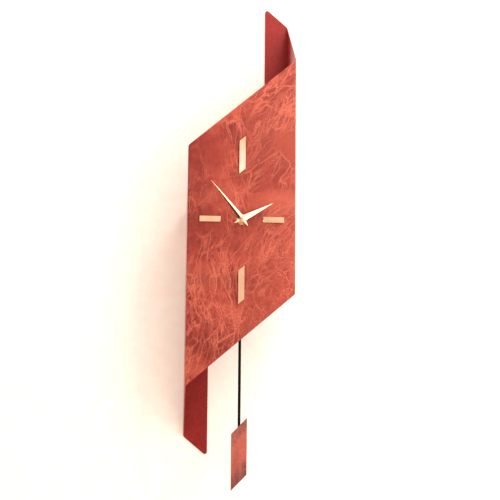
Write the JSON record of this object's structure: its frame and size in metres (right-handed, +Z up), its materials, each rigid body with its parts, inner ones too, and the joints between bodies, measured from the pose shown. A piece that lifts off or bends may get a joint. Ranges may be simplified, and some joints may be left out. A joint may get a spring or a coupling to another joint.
{
  "type": "pendulum wall clock",
  "caption": "Quartz pendulum wall clock: a marbled red metal ribbon folded round its movement, with slanted gold markers, dauphine hands and a slanted plate bob.",
  "frame": {"origin": "on the wall plane, straight behind the hand arbor, halfway between the two keyholes", "axes": "+Z up, -Y out of the wall towards the viewer, +X to the viewer's right"},
  "size_m": [0.14, 0.0999, 0.6554],
  "materials": {
    "case_finish": "marbled red lacquer, satin",
    "bob_finish": "marbled red lacquer, glossy",
    "gold": "polished gold",
    "plain_brass": "turned brass",
    "rubber": "matt",
    "housing_plastic": "fine textured black",
    "gear_plastic": "natural acetal",
    "steel": "bright steel",
    "nickel": "nickel-plated strip",
    "black_metal": "black satin paint",
    "magnet": "sintered magnet",
    "coil_wire": "enamelled copper wire",
    "board": "green solder mask",
    "cell": "plain printed sleeve"
  },
  "bodies": {
    "case": {"case_ribbon": "case_finish", "marker_12": "gold", "marker_3": "gold", "marker_6": "gold", "marker_9": "gold", "fixing_nut": "plain_brass", "brass_washer": "plain_brass", "rubber_washer": "rubber", "threaded_bushing": "plain_brass", "movement_housing": "housing_plastic", "rear_cover": "housing_plastic", "train_bridge": "gear_plastic", "stator": "steel", "motor_coil": "coil_wire", "circuit_board": "board", "quartz_crystal": "steel", "pendulum_coil": "coil_wire", "rocker_pin": "steel", "positive_contact": "nickel", "negative_contact": "nickel"},
    "minute": {"minute_hand": "gold", "hand_nut": "gold", "minute_arbor": "steel", "centre_wheel": "gear_plastic"},
    "hour": {"hour_hand": "gold", "hour_wheel": "plain_brass"},
    "minute_wheel": {"minute_wheel": "gear_plastic"},
    "setting_knob": {"setting_knob": "gear_plastic"},
    "third_wheel": {"third_wheel": "gear_plastic"},
    "second_wheel": {"second_wheel": "gear_plastic"},
    "intermediate_wheel": {"intermediate_wheel": "gear_plastic"},
    "rotor": {"rotor_pinion": "gear_plastic", "rotor_magnet": "magnet"},
    "pendulum": {"pendulum_rocker": "gear_plastic", "drive_magnet": "magnet", "pendulum_rod": "black_metal", "pendulum_bob": "bob_finish", "bob_clip": "black_metal"},
    "battery": {"battery": "cell"}
  },
  "joints": [
    {"name": "minute_hand_turn", "type": "hinge", "parent": "case", "child": "minute", "pos_m": [0, -0.095, 0], "axis": [0, 1, 0], "continuous": true},
    {"name": "hour_hand_turn", "type": "hinge", "parent": "case", "child": "hour", "pos_m": [0, -0.093, 0], "axis": [0, 1, 0], "continuous": true},
    {"name": "minute_wheel_turn", "type": "hinge", "parent": "case", "child": "minute_wheel", "pos_m": [-0.00742, -0.08, -0.003], "axis": [0, 1, 0], "continuous": true},
    {"name": "setting_knob_turn", "type": "hinge", "parent": "case", "child": "setting_knob", "pos_m": [-0.01521, -0.061, -0.0012], "axis": [0, 1, 0], "continuous": true},
    {"name": "third_wheel_turn", "type": "hinge", "parent": "case", "child": "third_wheel", "pos_m": [0.00851, -0.076, -0.00665], "axis": [0, 1, 0], "continuous": true},
    {"name": "second_wheel_turn", "type": "hinge", "parent": "case", "child": "second_wheel", "pos_m": [0.01063, -0.075, -0.01663], "axis": [0, 1, 0], "continuous": true},
    {"name": "intermediate_wheel_turn", "type": "hinge", "parent": "case", "child": "intermediate_wheel", "pos_m": [0.00354, -0.073, -0.01788], "axis": [0, 1, 0], "continuous": true},
    {"name": "rotor_turn", "type": "hinge", "parent": "case", "child": "rotor", "pos_m": [-0.00266, -0.071, -0.01897], "axis": [0, 1, 0], "continuous": true},
    {"name": "pendulum_swing", "type": "hinge", "parent": "case", "child": "pendulum", "pos_m": [0, -0.076, -0.036], "axis": [0, 1, 0], "range_deg": [-6, 6]},
    {"name": "battery_removal", "type": "slide", "parent": "case", "child": "battery", "axis": [0, 1, 0], "range_m": [0, 0.05]}
  ],
  "couplings": [
    {"joint": "hour_hand_turn", "follows": "minute_hand_turn", "ratio": 0.083333},
    {"joint": "minute_wheel_turn", "follows": "minute_hand_turn", "ratio": -0.33333},
    {"joint": "setting_knob_turn", "follows": "minute_hand_turn", "ratio": 1},
    {"joint": "third_wheel_turn", "follows": "minute_hand_turn", "ratio": -8},
    {"joint": "second_wheel_turn", "follows": "minute_hand_turn", "ratio": 60},
    {"joint": "intermediate_wheel_turn", "follows": "minute_hand_turn", "ratio": -300},
    {"joint": "rotor_turn", "follows": "minute_hand_turn", "ratio": 1800}
  ]
}
